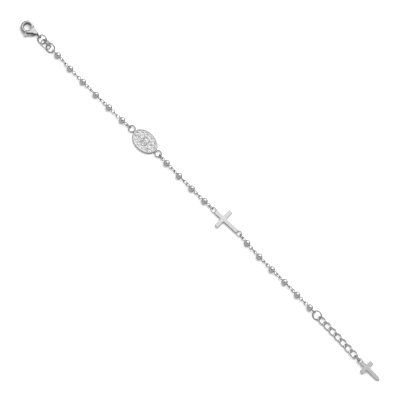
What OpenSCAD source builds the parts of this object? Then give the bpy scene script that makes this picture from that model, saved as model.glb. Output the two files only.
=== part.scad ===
// A rosary bracelet laid open in a line along X, with the clasp at the left end and the small
// hanging cross at the right end. Sizes are in millimetres and the surface it lies on is z = 0.

/* [Beads] */
// Diameter of a round bead
bead_d = 2.7; // [2.5:0.1:2.9]
// Distance between neighbouring bead centres when the chain is drawn straight
bead_pitch = 7.7; // [7.6:0.1:8.1]
// Gap on the radius between the bore of a bead and its pin
bead_clearance = 0.125; // [0.1:0.005:0.15]

/* [Pins and oval links] */
// Thickness of the wire of the pins and of the oval links
chain_wire = 0.35; // [0.3:0.01:0.38]
// Outside length of an oval link
link_length = 2.7; // [2.6:0.1:3.0]
// Width of the opening of an oval link and of an eye of a pin
link_opening = 0.92; // [0.88:0.01:0.95]
// Free play between two linked wires of the chain
play = 0.12; // [0.11:0.01:0.16]

/* [Jump rings and tag] */
// Outside diameter of the three jump rings
ring_d = 4.3; // [4.2:0.1:4.5]
// Wire thickness of the three jump rings
ring_wire = 0.58; // [0.54:0.01:0.6]
// Length of the oval tag between two jump rings
tag_length = 5.0; // [4.9:0.1:5.2]
// Width of the oval tag
tag_width = 4.0; // [3.9:0.1:4.2]
// Thickness of the oval tag
tag_thickness = 0.32; // [0.26:0.01:0.34]

/* [Medal] */
// Length of the oval medal without its rings
medal_length = 12.1; // [11.5:0.1:12.5]
// Width of the oval medal
medal_width = 8.7; // [8.0:0.1:9.0]
// Thickness of the medal with its relief
medal_thickness = 1.3; // [1.2:0.05:1.5]
// Height of the relief
relief = 0.2; // [0.15:0.01:0.3]
// Outside diameter of the ring at each end of the medal
loop_d = 3.3; // [3.2:0.1:3.5]
// Wire thickness of the rings of the medal
loop_wire = 0.56; // [0.5:0.01:0.58]

/* [Flat cross in the chain] */
// Distance between the centres of the two eyes of the cross
cross_span = 14.6; // [14.2:0.1:15.2]
// Length of the crossbar
cross_bar = 9.1; // [8.8:0.1:9.2]
// Width of the post and the bar
cross_width = 1.8; // [1.6:0.1:2.0]
// Thickness of the cross
cross_thickness = 1.4; // [1.3:0.05:1.5]
// Outside diameter of the eyes of the cross
cross_eye_d = 2.6; // [2.5:0.1:2.8]

/* [Extension chain] */
// Outside length of a twisted link
ext_length = 4.6; // [4.5:0.1:4.8]
// Outside width of a twisted link
ext_width = 3.1; // [3.0:0.1:3.3]
// Wire thickness of a twisted link
ext_wire = 0.64; // [0.58:0.01:0.66]

/* [Hanging cross] */
// Outside diameter of the ring that holds the hanging cross
drop_ring_d = 3.4; // [3.3:0.1:3.6]
// Distance from the centre of its eye to the foot of the hanging cross
drop_length = 11.3; // [10.8:0.1:12.0]
// Length of the crossbar of the hanging cross
drop_bar = 6.3; // [6.0:0.1:6.8]
// Width of the post and the bar of the hanging cross
drop_width = 1.8; // [1.6:0.1:2.0]
// Thickness of the hanging cross
drop_thickness = 1.2; // [1.1:0.05:1.3]

/* [Clasp] */
// Outside diameter of the hook
hook_d = 5.7; // [5.6:0.1:5.9]
// Thickness of the clasp
clasp_thickness = 2.2; // [2.1:0.05:2.3]
// Thickness of the lever
lever_thickness = 1.0; // [0.9:0.05:1.1]
// Gap on each side of the lever in its slot
lever_gap = 0.1; // [0.08:0.01:0.12]
// Diameter of the pivot pin
pin_d = 0.6; // [0.5:0.05:0.7]
// Gap on the radius between the lever and the pivot pin
pivot_clearance = 0.05; // [0.04:0.01:0.06]

/* [Output] */
// Sub-part to draw

/* [Hidden] */
wire_fn = 16;
ring_fn = 32;
round_fn = 64;
oval_fn = 64;

bead_count = 16;
group_last = [6, 10, 16];
group_slack = [0, 0.2, 0.17];
two = function(i) str(i < 10 ? "0" : "", i);
BEADS = [for (i = [1:bead_count]) str("bead_", two(i))];
LINKS = [for (k = [1:7]) str("ext_link_", k)];

// The pin of a bead reaches eye_reach from the bead centre to the outside of its eye.
eye_reach = (bead_pitch - link_length) / 2 + 2 * chain_wire + play;
eye_wire_reach = eye_reach - chain_wire / 2;
bead_gap = 0.1;
eye_length = eye_reach - bead_d / 2 - bead_gap;
bead_bore = chain_wire + 2 * bead_clearance;
bead_z = bead_d / 2;
dip = 2.5;

// Where the chain lies sideways, piece by piece, before the whole is centred.
clasp_y = -0.84;
clasp_ring_y = -0.12;
tag_y = -0.3;
tag_ring_y = -0.22;
bead_ys = [
    -0.19, -0.5, -0.61, -0.67, -0.55, -0.42,
    0.06, -0.08, -0.13, -0.02,
    0.1, -0.3, -0.42, -0.38, -0.43, -0.48
];
medal_y = 0.19;
medal_turn = 1.2;
cross_y = 0.42;
cross_turn = 2.0;
ext_ring_y = -0.66;
ext_ys = [-0.69, -0.73, -0.8, -0.89, -1.0, -1.13, -1.28];
drop_y = -1.4;

// How far the left and the right eye of each pin are rolled about the chain, in degrees.
eye_rolls = [
    [105, 48], [14, 5], [0, 30], [68, 72], [34, 0], [0, -18],
    [-18, 20], [58, 78], [42, 35], [5, -18],
    [-18, 5], [42, 50], [14, 25], [64, 72], [33, 5], [0, -62]
];

// Clasp, measured from the centre of the hook's opening.
hook_r = hook_d / 2;
opening_r = 1.45;
clasp_z = clasp_thickness / 2;
slot_height = lever_thickness + 2 * lever_gap;
pivot = [3.2, -0.35];
gate_tip_r = 4.3;
gate_gap = 0.06;
slot_top = 0.6;
plate_start = 74;
eye_at = [6.0, 0.9];
eye_r = 1.1;
eye_hole_r = 0.76;
eye_width = 0.7;
eye_shift = 0.12;
pin_hold = 0.03;

// Jump rings: each is rolled about X and its two ends lie at the heights of what they hold.
tag_offset = 2.5;
tag_roll = -16;
tag_z = 0.71;
hole_y = 0.45;
ring_r = (ring_d - ring_wire) / 2;
clasp_ring_roll = 26;
tag_ring_roll = 28;
clasp_ring_rise = 0.06;
bead_eye_side = 0.1;
ext_ring_roll = 28;
function in_tag(roll) = tag_z + hole_y * (tan(roll) - tan(tag_roll));
clasp_ring_ends = [
    clasp_z + clasp_ring_rise - (clasp_y + eye_at[1] - clasp_ring_y) * tan(clasp_ring_roll),
    in_tag(clasp_ring_roll) + (clasp_ring_y - tag_y) * tan(clasp_ring_roll)
];
tag_ring_ends = [
    in_tag(tag_ring_roll) + (tag_ring_y - tag_y) * tan(tag_ring_roll),
    bead_z - bead_eye_side * tan(tag_ring_roll)
];
function ring_lift(ends) = asin((ends[1] - ends[0]) / (2 * ring_r));
function ring_z(ends) = (ends[0] + ends[1]) / 2;
clasp_ring_lift = ring_lift(clasp_ring_ends);
tag_ring_lift = ring_lift(tag_ring_ends);
ext_ring_low = 0.02;
ext_ring_left = bead_z - bead_eye_side * tan(ext_ring_roll);
ext_ring_z = ext_ring_low + ring_wire / 2 + ring_r * sin(ext_ring_roll);
ext_ring_lift = asin((ext_ring_z - ext_ring_left) / ring_r);

medal_play = 0.3;
cross_play = 0.2;
loop_z = 0.85;
loop_sink = 0.1;
loop_at = (medal_length + loop_d) / 2 - loop_sink;
cross_eye_wire = 0.5;
cross_bar_at = 5.6;
cross_z = cross_thickness / 2;
cross_eye_z = cross_z + 0.1;

// Along X, from the left end of the hook to the foot of the hanging cross.
hook_x = hook_r;
clasp_ring_x = hook_x + eye_at[0] + eye_shift + ring_r * cos(clasp_ring_lift);
tag_x = clasp_ring_x + tag_offset;
tag_ring_x = tag_x + tag_offset;
first_bead_x = tag_ring_x + ring_r * cos(tag_ring_lift) - ring_wire / 2 - play - chain_wire + eye_reach;
link_inside = link_length - 2 * chain_wire;
function span(other_wire, free, drop) =
    sqrt(pow(link_inside - (chain_wire + other_wire) / 2 - 2 * free, 2) - drop * drop);
dip_reach = eye_wire_reach * cos(dip);
dip_drop = eye_wire_reach * sin(dip);
medal_step = dip_reach + span(loop_wire, medal_play, bead_z - dip_drop - loop_z);
cross_step = dip_reach + span(cross_eye_wire, cross_play, bead_z - dip_drop - cross_eye_z);
medal_reach = loop_at + (loop_d - loop_wire) / 2;
cross_reach = cross_span / 2 + (cross_eye_d - cross_eye_wire) / 2;
group_x = [
    first_bead_x,
    first_bead_x + 5 * (bead_pitch - group_slack[0]) + 2 * medal_step + 2 * medal_reach,
    first_bead_x + 5 * (bead_pitch - group_slack[0]) + 2 * medal_step + 2 * medal_reach
        + 3 * (bead_pitch - group_slack[1]) + 2 * cross_step + 2 * cross_reach
];
function group(i) = i <= group_last[0] ? 0 : i <= group_last[1] ? 1 : 2;
function bead_x(i) =
    let (g = group(i), first = g == 0 ? 1 : group_last[g - 1] + 1)
    group_x[g] + (i - first) * (bead_pitch - group_slack[g]);
medal_x = bead_x(6) + medal_step + medal_reach;
cross_x = bead_x(10) + cross_step + cross_reach;
ext_ring_x = bead_x(16) + eye_reach - chain_wire - play - ring_wire / 2 + ring_r * cos(ext_ring_lift);

// Extension chain: centre line of a twisted link, and heights where the links meet.
ext_a = (ext_length - ext_wire) / 2;
ext_b = (ext_width - ext_wire) / 2;
ext_twist = 0.43;
ext_play = 0.14;
ext_free = 0.18;
ext_z = ext_twist + ext_wire / 2;
ext_start = ring_r - ring_wire / 2 - ext_wire / 2 - ext_free;
drop_ring_wire = 0.55;
drop_ring_r = (drop_ring_d - drop_ring_wire) / 2;
drop_ring_roll = -68;
drop_ring_z = drop_ring_wire / 2 + drop_ring_r * abs(sin(drop_ring_roll));
drop_hold = 0.6;
drop_ring_y = (ext_ys[6] + drop_y) / 2 - 0.18;
drop_free = 0.13;
drop_joint = drop_ring_r - drop_ring_wire / 2 - ext_wire / 2 - drop_free;
drop_joint_z = drop_ring_z - sqrt(drop_joint * drop_joint - drop_hold * drop_hold) * abs(sin(drop_ring_roll));
ext_heights = [
    ext_ring_z + ext_start * sin(ext_ring_lift),
    0.88, ext_z, ext_z, ext_z, ext_z, 0.85,
    drop_joint_z
];
function ext_slope(k) = asin((ext_heights[k] - ext_heights[k - 1]) / (2 * ext_a));
function ext_x(k) =
    k == 1
        ? ext_ring_x + ext_start + ext_a * cos(ext_slope(1))
        : ext_x(k - 1) + ext_a * (cos(ext_slope(k - 1)) + cos(ext_slope(k))) - ext_wire - ext_play;
function ext_yaw(k) =
    atan2(ext_ys[min(k, 6)] - ext_ys[max(k - 2, 0)], ext_x(min(k + 1, 7)) - ext_x(max(k - 1, 1)));
drop_eye_d = 2.5;
drop_eye_wire = 0.55;
drop_eye_r = (drop_eye_d - drop_eye_wire) / 2;
drop_bar_at = 3.8;
drop_ring_x = ext_x(7) + ext_a * cos(ext_slope(7)) + drop_hold;
drop_tilt = asin((drop_joint_z - drop_thickness / 2) / (drop_length + drop_eye_r));
drop_eye_x = drop_ring_x + drop_hold + drop_eye_r * cos(drop_tilt);
drop_eye_z = drop_thickness / 2 + drop_length * sin(drop_tilt);
full_length = drop_eye_x + drop_length * cos(drop_tilt) + drop_thickness / 2 * sin(drop_tilt);

// Sideways reach of the whole, to centre it: bar of the flat cross above, hanging cross below.
bar_y = cross_y + (cross_bar_at - cross_span / 2) * sin(cross_turn);
top_y = bar_y + cross_bar / 2 * cos(cross_turn) + cross_width / 2 * sin(cross_turn);
bottom_y = drop_y - drop_bar / 2;
centre = [full_length / 2, (top_y + bottom_y) / 2, 0];

// Centre and direction of each bead, and the middle of the wire at the ends of its pin.
function along(turn) = [cos(turn), sin(turn)];
function bead_centre(i) = [bead_x(i), bead_ys[i - 1], bead_z];
function route_before(i) =
    i == 1 ? [tag_ring_x, tag_ring_y]
    : i == 7 ? [medal_x, medal_y] + medal_reach * along(medal_turn)
    : i == 11 ? [cross_x, cross_y] + cross_reach * along(cross_turn)
    : [bead_x(i - 1), bead_ys[i - 2]];
function route_after(i) =
    i == 6 ? [medal_x, medal_y] - medal_reach * along(medal_turn)
    : i == 10 ? [cross_x, cross_y] - cross_reach * along(cross_turn)
    : i == 16 ? [ext_ring_x, ext_ring_y]
    : [bead_x(i + 1), bead_ys[i]];
function bead_yaw(i) =
    let (d = route_after(i) - route_before(i)) atan2(d[1], d[0]);
function bead_dip(i) = i == 6 || i == 10 ? -dip : i == 7 || i == 11 ? dip : 0;
function bead_way(i) = [
    cos(bead_dip(i)) * cos(bead_yaw(i)),
    cos(bead_dip(i)) * sin(bead_yaw(i)),
    sin(bead_dip(i))
];
function eye_end(i, side) = bead_centre(i) + side * eye_wire_reach * bead_way(i);

// The middle of a round eye's wire on the side that faces the point p.
function facing(eye, eye_r, p) =
    let (d = [p[0] - eye[0], p[1] - eye[1], 0]) eye + eye_r * d / norm(d);
function medal_eye(side, p) =
    facing([medal_x, medal_y, loop_z] + side * loop_at * [cos(medal_turn), sin(medal_turn), 0],
        (loop_d - loop_wire) / 2, p);
function cross_eye(side, p) =
    facing([cross_x, cross_y, cross_eye_z] + side * cross_span / 2 * [cos(cross_turn), sin(cross_turn), 0],
        (cross_eye_d - cross_eye_wire) / 2, p);

// Places its children, drawn along X, midway between two points with a roll about that line.
module between(p, q, roll)
{
    d = q - p;
    translate((p + q) / 2)
        rotate([roll, -atan2(d[2], norm([d[0], d[1]])), atan2(d[1], d[0])])
            children();
}

module round_ring(outside, wire)
{
    rotate_extrude($fn = ring_fn)
        translate([(outside - wire) / 2, 0])
            circle(d = wire, $fn = wire_fn);
}

module oval_ring(length, opening, wire)
{
    bend_r = (opening + wire) / 2;
    straight = length - wire - 2 * bend_r;
    for (s = [-1, 1]) {
        translate([s * straight / 2, 0, 0])
            rotate([0, 0, -90 * s])
                rotate_extrude(angle = 180, $fn = ring_fn)
                    translate([bend_r, 0])
                        circle(d = wire, $fn = wire_fn);
        translate([-straight / 2, s * bend_r, 0])
            rotate([0, 90, 0])
                cylinder(d = wire, h = straight, $fn = wire_fn);
    }
}

module oval(half_length, half_width)
{
    polygon([for (k = [0:oval_fn - 1]) [half_length * cos(360 * k / oval_fn), half_width * sin(360 * k / oval_fn)]]);
}

module pin_with_eyes(i)
{
    translate(bead_centre(i))
        rotate([0, -bead_dip(i), bead_yaw(i)]) {
            shaft = eye_reach - eye_length + chain_wire / 2;
            translate([-shaft, 0, 0])
                rotate([0, 90, 0])
                    cylinder(d = chain_wire, h = 2 * shaft, $fn = wire_fn);
            for (s = [-1, 1])
                rotate([eye_rolls[i - 1][s < 0 ? 0 : 1], 0, 0])
                    translate([s * (eye_reach - eye_length / 2), 0, 0])
                        oval_ring(eye_length, link_opening, chain_wire);
        }
}

module chain_link(p, q, roll)
{
    between(p, q, roll)
        oval_ring(link_length, link_opening, chain_wire);
}

module bead_chain(first, last)
{
    for (i = [first:last])
        pin_with_eyes(i);
    for (i = [first:last - 1])
        chain_link(eye_end(i, 1), eye_end(i + 1, -1), (eye_rolls[i - 1][1] + eye_rolls[i][0]) / 2 + 90);
}

module clasp_outline()
{
    polygon([
        (hook_r - 0.08) * [cos(plate_start), sin(plate_start)], [4.9, 1.5], [4.9, 0.3], [3.6, -0.35],
        [2.6, -1.2], [1.6, -2.1], [1.0, -1.2], [1.2, 0], [0.5, 1.5]
    ]);
}

module gate_side(gap)
{
    translate(pivot)
        circle(r = gate_tip_r + gap, $fn = 2 * round_fn);
}

module clasp_body()
{
    color("silver")
        translate([hook_x, clasp_y, clasp_z] - centre)
            difference() {
                union() {
                    difference() {
                        rotate_extrude($fn = round_fn)
                            translate([(hook_r + opening_r) / 2, 0]) {
                                band = hook_r - opening_r;
                                square([band, clasp_thickness - band], center = true);
                                for (s = [-1, 1])
                                    translate([0, s * (clasp_thickness - band) / 2])
                                        circle(d = band, $fn = ring_fn);
                            }
                        linear_extrude(height = clasp_thickness + 1, center = true)
                            intersection() {
                                gate_side(gate_gap);
                                translate([-2, -3.5])
                                    square([5.5, 3.5]);
                            }
                    }
                    linear_extrude(height = clasp_thickness, center = true)
                        difference() {
                            clasp_outline();
                            circle(r = opening_r, $fn = round_fn);
                        }
                    translate([4.6, eye_at[1] - eye_width / 2, -0.7])
                        cube([0.62, eye_width, 1.4]);
                    translate([eye_at[0], eye_at[1], 0])
                        rotate([90, 0, 0])
                            cylinder(r = eye_r, h = eye_width, center = true, $fn = round_fn);
                }
                translate([eye_at[0], eye_at[1], 0])
                    rotate([90, 0, 0])
                        cylinder(r = eye_hole_r, h = eye_width + 1, center = true, $fn = round_fn);
                translate([0.5, slot_top - 5, -slot_height / 2])
                    cube([4.1, 5, slot_height]);
                translate(pivot)
                    cylinder(d = pin_d + 2 * pin_hold, h = clasp_thickness + 1, center = true, $fn = wire_fn);
            }
}

module clasp_lever()
{
    color("silver")
        translate([hook_x, clasp_y, clasp_z] - centre)
            difference() {
                union() {
                    linear_extrude(height = lever_thickness, center = true)
                        intersection() {
                            circle(r = hook_r, $fn = round_fn);
                            gate_side(-gate_gap);
                            translate([-2, -3.5])
                                square([4.5, 2.9]);
                        }
                    linear_extrude(height = lever_thickness, center = true)
                        polygon([
                            [0.9, -1.0], [2.6, 0.2], [3.4, slot_top - gate_gap], [4.1, slot_top - gate_gap],
                            [4.7, -0.5], [2.8, -2.05], [2.95, -2.3], [2.2, -3.45], [1.2, -2.75], [0.9, -2.6]
                        ]);
                }
                cylinder(r = opening_r, h = clasp_thickness, center = true, $fn = round_fn);
                translate(pivot)
                    cylinder(d = pin_d + 2 * pivot_clearance, h = clasp_thickness, center = true, $fn = wire_fn);
            }
}

module clasp_pin()
{
    color("silver")
        translate([hook_x, clasp_y, clasp_z] - centre)
            translate(pivot)
                cylinder(d = pin_d, h = clasp_thickness, center = true, $fn = wire_fn);
}

module clasp_ring()
{
    color("silver")
        translate([clasp_ring_x, clasp_ring_y, ring_z(clasp_ring_ends)] - centre)
            rotate([clasp_ring_roll, -clasp_ring_lift, 0])
                round_ring(ring_d, ring_wire);
}

module tag_ring()
{
    color("silver")
        translate([tag_ring_x, tag_ring_y, ring_z(tag_ring_ends)] - centre)
            rotate([tag_ring_roll, -tag_ring_lift, 0])
                round_ring(ring_d, ring_wire);
}

module tag()
{
    rim = 0.4;
    color("silver")
        translate([tag_x, tag_y, tag_z] - centre)
            rotate([tag_roll, 0, 0])
                linear_extrude(height = tag_thickness, center = true)
                    difference() {
                        oval(tag_length / 2, tag_width / 2);
                        difference() {
                            oval(tag_length / 2 - rim, tag_width / 2 - rim - 0.05);
                            translate([0, 4.11])
                                circle(r = 3.86, $fn = 2 * round_fn);
                        }
                    }
}

module bead(i)
{
    color("silver")
        translate(bead_centre(i) - centre)
            rotate([0, -bead_dip(i), bead_yaw(i)])
                rotate([0, 90, 0])
                    difference() {
                        sphere(d = bead_d, $fn = ring_fn);
                        cylinder(d = bead_bore, h = bead_d + 1, center = true, $fn = wire_fn);
                    }
}

module chain_1()
{
    color("silver")
        translate(-centre) {
            bead_chain(1, 6);
            chain_link(eye_end(6, 1), medal_eye(-1, eye_end(6, 1)), eye_rolls[5][1] + 90);
        }
}

module chain_2()
{
    color("silver")
        translate(-centre) {
            bead_chain(7, 10);
            chain_link(medal_eye(1, eye_end(7, -1)), eye_end(7, -1), eye_rolls[6][0] + 90);
            chain_link(eye_end(10, 1), cross_eye(-1, eye_end(10, 1)), eye_rolls[9][1] + 90);
        }
}

module chain_3()
{
    color("silver")
        translate(-centre) {
            bead_chain(11, 16);
            chain_link(cross_eye(1, eye_end(11, -1)), eye_end(11, -1), eye_rolls[10][0] + 90);
        }
}

module heart(size)
{
    for (s = [-1, 1])
        translate([-0.3 * size, 0.42 * s * size])
            circle(r = 0.5 * size, $fn = ring_fn);
    polygon([[-0.55 * size, -0.85 * size], [1.1 * size, 0], [-0.55 * size, 0.85 * size]]);
}

module medal_figures()
{
    line = 0.42;
    translate([-2.8, 0])
        square([2.6, line], center = true);
    translate([-3.2, 0])
        square([line, 1.8], center = true);
    translate([-1.4, 0])
        square([line, 3.6], center = true);
    intersection() {
        translate([-1.4, -2.5])
            square([3.1, 5]);
        for (s = [-1, 1])
            translate([0.2, 0.75 * s])
                difference() {
                    circle(r = 1.35, $fn = ring_fn);
                    circle(r = 1.35 - line, $fn = ring_fn);
                }
    }
    for (s = [-1, 1])
        translate([2.9, 1.2 * s])
            heart(0.75);
    for (k = [0:11])
        translate([4.85 * cos(30 * k + 15), 3.1 * sin(30 * k + 15)])
            circle(r = 0.2, $fn = wire_fn);
}

module medal()
{
    rim = 0.6;
    color("silver")
        translate([medal_x, medal_y, 0] - centre)
            rotate([0, 0, medal_turn]) {
                difference() {
                    linear_extrude(height = medal_thickness)
                        oval(medal_length / 2, medal_width / 2);
                    translate([0, 0, medal_thickness - relief])
                        linear_extrude(height = 1)
                            difference() {
                                oval(medal_length / 2 - rim, medal_width / 2 - rim);
                                medal_figures();
                            }
                }
                for (s = [-1, 1]) {
                    translate([s * loop_at, 0, loop_z])
                        round_ring(loop_d, loop_wire);
                    translate([s * (loop_at - loop_d / 2), 0, loop_z])
                        cube([0.6, 1.0, loop_wire - 0.1], center = true);
                }
            }
}

module connector_cross()
{
    color("silver")
        translate([cross_x, cross_y, cross_z] - centre)
            rotate([0, 0, cross_turn]) {
                post = cross_span - cross_eye_d + cross_eye_wire;
                cube([post, cross_width, cross_thickness], center = true);
                translate([cross_bar_at - cross_span / 2, 0, 0])
                    cube([cross_width, cross_bar, cross_thickness], center = true);
                for (s = [-1, 1])
                    translate([s * cross_span / 2, 0, cross_eye_z - cross_z])
                        round_ring(cross_eye_d, cross_eye_wire);
            }
}

module extension_ring()
{
    color("silver")
        translate([ext_ring_x, ext_ring_y, ext_ring_z] - centre)
            rotate([ext_ring_roll, -ext_ring_lift, 0])
                round_ring(ring_d, ring_wire);
}

// One twisted link as a swept wire of six sides.
module twisted_link()
{
    steps = 16;
    sides = 6;
    function at(t) = [ext_a * cos(t), ext_b * sin(t), ext_twist * sin(2 * t)];
    function way(t) = [-ext_a * sin(t), ext_b * cos(t), 2 * ext_twist * cos(2 * t)];
    function unit(v) = v / norm(v);
    function skin(n, j) =
        let (t = 360 * n / steps, f = unit(way(t)), side = unit(cross([0, 0, 1], f)), up = cross(f, side))
        at(t) + ext_wire / 2 * (cos(360 * j / sides) * side + sin(360 * j / sides) * up);
    points = [for (n = [0:steps - 1]) for (j = [0:sides - 1]) skin(n, j)];
    faces = [
        for (n = [0:steps - 1]) for (j = [0:sides - 1])
            let (m = (n + 1) % steps, k = (j + 1) % sides)
            each [
                [n * sides + j, n * sides + k, m * sides + k],
                [n * sides + j, m * sides + k, m * sides + j]
            ]
    ];
    polyhedron(points = points, faces = faces, convexity = 4);
}

module ext_link(k)
{
    color("silver")
        translate([ext_x(k), ext_ys[k - 1], (ext_heights[k] + ext_heights[k - 1]) / 2] - centre)
            rotate([0, -ext_slope(k), ext_yaw(k)])
                twisted_link();
}

module drop_ring()
{
    color("silver")
        translate([drop_ring_x, drop_ring_y, drop_ring_z] - centre)
            rotate([drop_ring_roll, 0, 0])
                round_ring(drop_ring_d, drop_ring_wire);
}

module drop_cross()
{
    color("silver")
        translate([drop_eye_x, drop_y, drop_eye_z] - centre)
            rotate([0, drop_tilt, 0]) {
                round_ring(drop_eye_d, drop_eye_wire);
                translate([drop_eye_r, -drop_width / 2, -drop_thickness / 2])
                    cube([drop_length - drop_eye_r, drop_width, drop_thickness]);
                translate([drop_bar_at, 0, 0])
                    cube([drop_width, drop_bar, drop_thickness], center = true);
            }
}

clasp_body();
clasp_lever();
clasp_pin();
clasp_ring();
tag();
tag_ring();
for (i = [1:bead_count])
    bead(i);
chain_1();
chain_2();
chain_3();
medal();
connector_cross();
extension_ring();
for (k = [1:7])
    ext_link(k);
drop_ring();
drop_cross();
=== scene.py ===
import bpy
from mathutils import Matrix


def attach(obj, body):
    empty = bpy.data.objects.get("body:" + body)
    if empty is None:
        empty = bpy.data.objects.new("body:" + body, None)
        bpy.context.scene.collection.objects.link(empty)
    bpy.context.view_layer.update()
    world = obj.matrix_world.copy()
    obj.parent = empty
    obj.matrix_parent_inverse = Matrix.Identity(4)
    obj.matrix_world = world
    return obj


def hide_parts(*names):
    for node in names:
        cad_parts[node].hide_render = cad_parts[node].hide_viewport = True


bl_info = {
    "name": "Rosary bracelet",
    "version": (1, 0, 0),
    "blender": (4, 5, 0),
    "location": "3D View > Sidebar > Bracelet",
    "description": "Dresses a laid out rosary bracelet in silver and lights it on a pale floor",
    "category": "Add Mesh",
}

from math import asin, atan2, cos, degrees, pi, radians, sin, sqrt, tan
from types import SimpleNamespace

import bpy
from mathutils import Matrix, Vector, noise

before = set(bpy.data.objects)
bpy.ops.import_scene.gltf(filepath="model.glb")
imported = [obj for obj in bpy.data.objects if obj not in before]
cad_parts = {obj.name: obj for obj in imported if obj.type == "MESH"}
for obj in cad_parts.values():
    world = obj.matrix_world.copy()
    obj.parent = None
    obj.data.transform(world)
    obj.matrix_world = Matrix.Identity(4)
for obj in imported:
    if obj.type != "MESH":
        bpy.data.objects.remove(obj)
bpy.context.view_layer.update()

# Pieces are modelled in millimetres and brought to metres when they are finished.
MM = 0.001
BODY = "bracelet"
LEVER = "lever"


def length(name, description, default):
    return bpy.props.FloatProperty(
        name=name, description=description, default=default * MM, precision=5, unit="LENGTH"
    )


def angle(name, description, default):
    return bpy.props.FloatProperty(
        name=name, description=description, default=radians(default), subtype="ANGLE", unit="ROTATION"
    )


def share(name, description, default):
    return bpy.props.FloatProperty(
        name=name, description=description, default=default, min=0, max=1, subtype="FACTOR", unit="NONE"
    )


class BraceletSizes(bpy.types.PropertyGroup):
    bead: length("Bead", "Diameter of a round bead", 2.7)
    pitch: length("Bead pitch", "Distance between bead centres when the chain is straight", 7.7)
    bore: length("Bead bore", "Diameter of the hole through a bead", 0.6)
    wire: length("Chain wire", "Thickness of the wire of pins and oval links", 0.35)
    link: length("Oval link", "Outside length of an oval link", 2.7)
    opening: length("Link opening", "Width of the opening of links and eyes", 0.92)
    play: length("Play", "Free play between two linked wires", 0.12)
    ring: length("Jump ring", "Outside diameter of a jump ring", 4.3)
    ring_wire: length("Jump ring wire", "Wire thickness of a jump ring", 0.58)
    tag: length("Tag length", "Length of the oval tag", 5.0)
    tag_width: length("Tag width", "Width of the oval tag", 4.0)
    tag_thickness: length("Tag thickness", "Thickness of the oval tag", 0.32)
    medal: length("Medal length", "Length of the medal without its rings", 12.1)
    medal_width: length("Medal width", "Width of the medal", 8.7)
    medal_thickness: length("Medal thickness", "Thickness of the medal with its relief", 1.3)
    relief: length("Relief", "Height of the medal's relief", 0.2)
    loop: length("Medal ring", "Outside diameter of the rings of the medal", 3.3)
    loop_wire: length("Medal ring wire", "Wire thickness of the rings of the medal", 0.56)
    cross_span: length("Cross span", "Distance between the eyes of the flat cross", 14.6)
    cross_bar: length("Cross bar", "Length of the flat cross's bar", 9.1)
    cross_width: length("Cross width", "Width of the flat cross's post and bar", 1.8)
    cross_thickness: length("Cross thickness", "Thickness of the flat cross", 1.4)
    cross_eye: length("Cross eye", "Outside diameter of the flat cross's eyes", 2.6)
    ext: length("Curb link", "Outside length of a twisted link", 4.6)
    ext_width: length("Curb link width", "Outside width of a twisted link", 3.1)
    ext_wire: length("Curb link wire", "Wire thickness of a twisted link", 0.64)
    drop_ring: length("Small ring", "Outside diameter of the hanging cross's ring", 3.4)
    drop: length("Hanging cross", "Distance from its eye to its foot", 11.3)
    drop_bar: length("Hanging cross bar", "Length of the hanging cross's bar", 6.3)
    drop_width: length("Hanging cross width", "Width of its post and bar", 1.8)
    drop_thickness: length("Hanging cross thickness", "Thickness of the hanging cross", 1.2)
    hook: length("Hook", "Outside diameter of the clasp's hook", 5.7)
    clasp: length("Clasp thickness", "Thickness of the clasp", 2.2)
    lever: length("Lever thickness", "Thickness of the clasp's lever", 1.0)


class BraceletFinish(bpy.types.PropertyGroup):
    silver: bpy.props.FloatVectorProperty(
        name="Silver", description="Colour of the bright plating", subtype="COLOR", size=3,
        default=(0.9, 0.9, 0.91), min=0, max=1,
    )
    polish: share("Polish", "Roughness of the polished pieces", 0.06)
    satin: share("Satin", "Roughness of the medal and the flat faces", 0.2)
    azimuth: angle("Camera azimuth", "Direction that the camera looks from", 45.45)
    elevation: angle("Camera elevation", "Height of the camera above the horizon", 79)


def millimetres(context):
    """The sizes of the bracelet in millimetres."""
    sizes = context.scene.bracelet_sizes
    return SimpleNamespace(**{name: getattr(sizes, name) / MM for name in BraceletSizes.__annotations__})


# ---- where everything lies ----
# Lengths are in millimetres and angles in degrees. X runs along the chain from the clasp, Z is up.
BEADS = 16
# First bead, last bead and slack of the pitch, for each stretch of chain.
GROUPS = ((1, 6, 0.0), (7, 10, 0.2), (11, 16, 0.17))
# How far a pin dips towards the medal or the flat cross.
DIP = 2.5
# Where pieces lie across the chain's line, as in the photo.
CLASP_Y, CLASP_RING_Y, TAG_Y, TAG_RING_Y = -0.84, -0.12, -0.3, -0.22
BEAD_YS = (
    -0.19, -0.5, -0.61, -0.67, -0.55, -0.42,
    0.06, -0.08, -0.13, -0.02,
    0.1, -0.3, -0.42, -0.38, -0.43, -0.48,
)
MEDAL_Y, CROSS_Y, EXT_RING_Y, DROP_Y = 0.19, 0.42, -0.66, -1.4
MEDAL_TURN, CROSS_TURN = 1.2, 2.0
EXT_YS = (-0.69, -0.73, -0.8, -0.89, -1.0, -1.13, -1.28)
# How far the left and the right eye of each pin is rolled about the chain's line.
EYE_ROLLS = (
    (105, 48), (14, 5), (0, 30), (68, 72), (34, 0), (0, -18),
    (-18, 20), (58, 78), (42, 35), (5, -18),
    (-18, 5), (42, 50), (14, 25), (64, 72), (33, 5), (0, -62),
)
# The clasp: opening, rivet, the cut round the rivet that parts hook and gate, slot, and turned eye.
HOLE_R = 1.45
PIVOT = (3.2, -0.35)
TIP_R, GATE_GAP, SLOT_TOP = 4.3, 0.06, 0.6
EYE_AT, EYE_R, EYE_HOLE_R, EYE_WIDTH, EYE_SHIFT = (6.0, 0.9), 1.1, 0.76, 0.7, 0.12
# The tag between its two jump rings, and how far the rings are rolled.
TAG_ROLL, TAG_Z, TAG_HOLE_Y, TAG_STEP = -16, 0.71, 0.45, 2.5
CLASP_RING_ROLL, TAG_RING_ROLL, EXT_RING_ROLL = 26, 28, 28
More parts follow.
